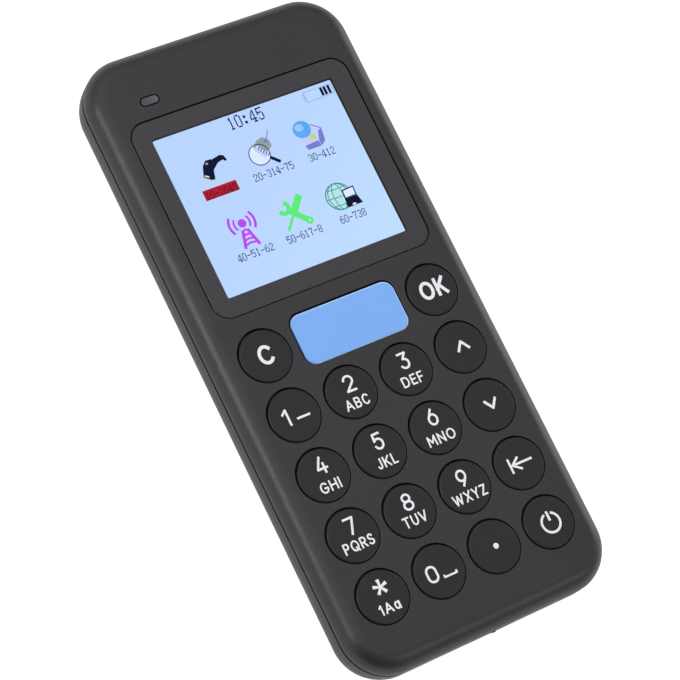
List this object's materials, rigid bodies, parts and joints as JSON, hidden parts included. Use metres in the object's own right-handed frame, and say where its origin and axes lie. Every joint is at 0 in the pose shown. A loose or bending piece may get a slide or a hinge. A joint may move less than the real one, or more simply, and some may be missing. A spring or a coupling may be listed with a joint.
{
  "type": "handheld barcode data terminal",
  "caption": "Slim handheld data terminal with a backlit colour display, round keypad keys, a wide blue scan key, a scan window in the head and a sliding battery door in the back.",
  "frame": {"origin": "middle of the flat back face, which is the lowest face as the device lies on its back", "axes": "+X to the device's right seen from the front, +Y towards the scanning head, +Z out of the display"},
  "size_m": [0.0554, 0.1248, 0.015],
  "materials": {
    "cover": "fine matte texture, dark grey",
    "key": "smooth matte, near black",
    "blue_key": "smooth matte, light blue",
    "window": "anti-glare clear",
    "mask": "printed film, dark grey",
    "display": "backlit, pale blue",
    "steel": "bright",
    "screw": "blackened",
    "flex": "amber film",
    "board": "solder mask, green",
    "chip": "moulded, black",
    "connector": "ivory",
    "led": "clear resin",
    "lens_grey": "smoked, grey",
    "lens_red": "dark red, clear",
    "battery": "wrapped, dark",
    "contacts": "gold plated",
    "black_rubber": "soft, black",
    "mat_rubber": "silicone, grey",
    "tape": "foam adhesive, black",
    "label": "blank, silver grey"
  },
  "bodies": {
    "housing": {"front_cover": "cover", "rear_cover": "cover", "housing_seal": "black_rubber", "display_window": "window", "window_mask": "mask", "window_tape": "tape", "lcd_panel": "display", "lcd_frame": "steel", "lcd_flex": "flex", "main_board": "board", "board_chips": "chip", "board_connectors": "connector", "snap_domes": "steel", "keypad_mat": "mat_rubber", "status_led": "led", "light_pipe": "lens_grey", "usb_socket": "steel", "battery_pack": "battery", "battery_contacts": "contacts", "scan_engine": "chip", "engine_lens": "lens_red", "engine_flex": "flex", "scan_window": "lens_red", "scan_window_seal": "black_rubber", "buzzer": "chip", "vibration_motor": "steel", "housing_screws": "screw", "board_screws": "screw", "engine_screws": "screw", "rating_label": "label"},
    "battery_door": {"battery_door": "cover"},
    "port_cover": {"port_cover": "black_rubber"},
    "key_scan": {"key_scan": "blue_key"},
    "key_clear": {"key_clear": "key"},
    "key_ok": {"key_ok": "key"},
    "key_1": {"key_1": "key"},
    "key_2": {"key_2": "key"},
    "key_3": {"key_3": "key"},
    "key_up": {"key_up": "key"},
    "key_4": {"key_4": "key"},
    "key_5": {"key_5": "key"},
    "key_6": {"key_6": "key"},
    "key_down": {"key_down": "key"},
    "key_7": {"key_7": "key"},
    "key_8": {"key_8": "key"},
    "key_9": {"key_9": "key"},
    "key_back": {"key_back": "key"},
    "key_star": {"key_star": "key"},
    "key_0": {"key_0": "key"},
    "key_point": {"key_point": "key"},
    "key_power": {"key_power": "key"}
  },
  "joints": [
    {"name": "key_scan_press", "type": "slide", "parent": "housing", "child": "key_scan", "axis": [0, 0, -1], "range_m": [0, 0.0005], "stiffness_N_per_m": 500},
    {"name": "key_clear_press", "type": "slide", "parent": "housing", "child": "key_clear", "axis": [0, 0, -1], "range_m": [0, 0.0005], "stiffness_N_per_m": 400},
    {"name": "key_ok_press", "type": "slide", "parent": "housing", "child": "key_ok", "axis": [0, 0, -1], "range_m": [0, 0.0005], "stiffness_N_per_m": 400},
    {"name": "key_1_press", "type": "slide", "parent": "housing", "child": "key_1", "axis": [0, 0, -1], "range_m": [0, 0.0005], "stiffness_N_per_m": 400},
    {"name": "key_2_press", "type": "slide", "parent": "housing", "child": "key_2", "axis": [0, 0, -1], "range_m": [0, 0.0005], "stiffness_N_per_m": 400},
    {"name": "key_3_press", "type": "slide", "parent": "housing", "child": "key_3", "axis": [0, 0, -1], "range_m": [0, 0.0005], "stiffness_N_per_m": 400},
    {"name": "key_up_press", "type": "slide", "parent": "housing", "child": "key_up", "axis": [0, 0, -1], "range_m": [0, 0.0005], "stiffness_N_per_m": 400},
    {"name": "key_4_press", "type": "slide", "parent": "housing", "child": "key_4", "axis": [0, 0, -1], "range_m": [0, 0.0005], "stiffness_N_per_m": 400},
    {"name": "key_5_press", "type": "slide", "parent": "housing", "child": "key_5", "axis": [0, 0, -1], "range_m": [0, 0.0005], "stiffness_N_per_m": 400},
    {"name": "key_6_press", "type": "slide", "parent": "housing", "child": "key_6", "axis": [0, 0, -1], "range_m": [0, 0.0005], "stiffness_N_per_m": 400},
    {"name": "key_down_press", "type": "slide", "parent": "housing", "child": "key_down", "axis": [0, 0, -1], "range_m": [0, 0.0005], "stiffness_N_per_m": 400},
    {"name": "key_7_press", "type": "slide", "parent": "housing", "child": "key_7", "axis": [0, 0, -1], "range_m": [0, 0.0005], "stiffness_N_per_m": 400},
    {"name": "key_8_press", "type": "slide", "parent": "housing", "child": "key_8", "axis": [0, 0, -1], "range_m": [0, 0.0005], "stiffness_N_per_m": 400},
    {"name": "key_9_press", "type": "slide", "parent": "housing", "child": "key_9", "axis": [0, 0, -1], "range_m": [0, 0.0005], "stiffness_N_per_m": 400},
    {"name": "key_back_press", "type": "slide", "parent": "housing", "child": "key_back", "axis": [0, 0, -1], "range_m": [0, 0.0005], "stiffness_N_per_m": 400},
    {"name": "key_star_press", "type": "slide", "parent": "housing", "child": "key_star", "axis": [0, 0, -1], "range_m": [0, 0.0005], "stiffness_N_per_m": 400},
    {"name": "key_0_press", "type": "slide", "parent": "housing", "child": "key_0", "axis": [0, 0, -1], "range_m": [0, 0.0005], "stiffness_N_per_m": 400},
    {"name": "key_point_press", "type": "slide", "parent": "housing", "child": "key_point", "axis": [0, 0, -1], "range_m": [0, 0.0005], "stiffness_N_per_m": 400},
    {"name": "key_power_press", "type": "slide", "parent": "housing", "child": "key_power", "axis": [0, 0, -1], "range_m": [0, 0.0005], "stiffness_N_per_m": 400},
    {"name": "battery_door_slide", "type": "slide", "parent": "housing", "child": "battery_door", "axis": [0, -1, 0], "range_m": [0, 0.068]},
    {"name": "port_cover_hinge", "type": "hinge", "parent": "housing", "child": "port_cover", "pos_m": [0, -0.06203, 0.0065], "axis": [1, 0, 0], "range_deg": [0, 100]}
  ]
}
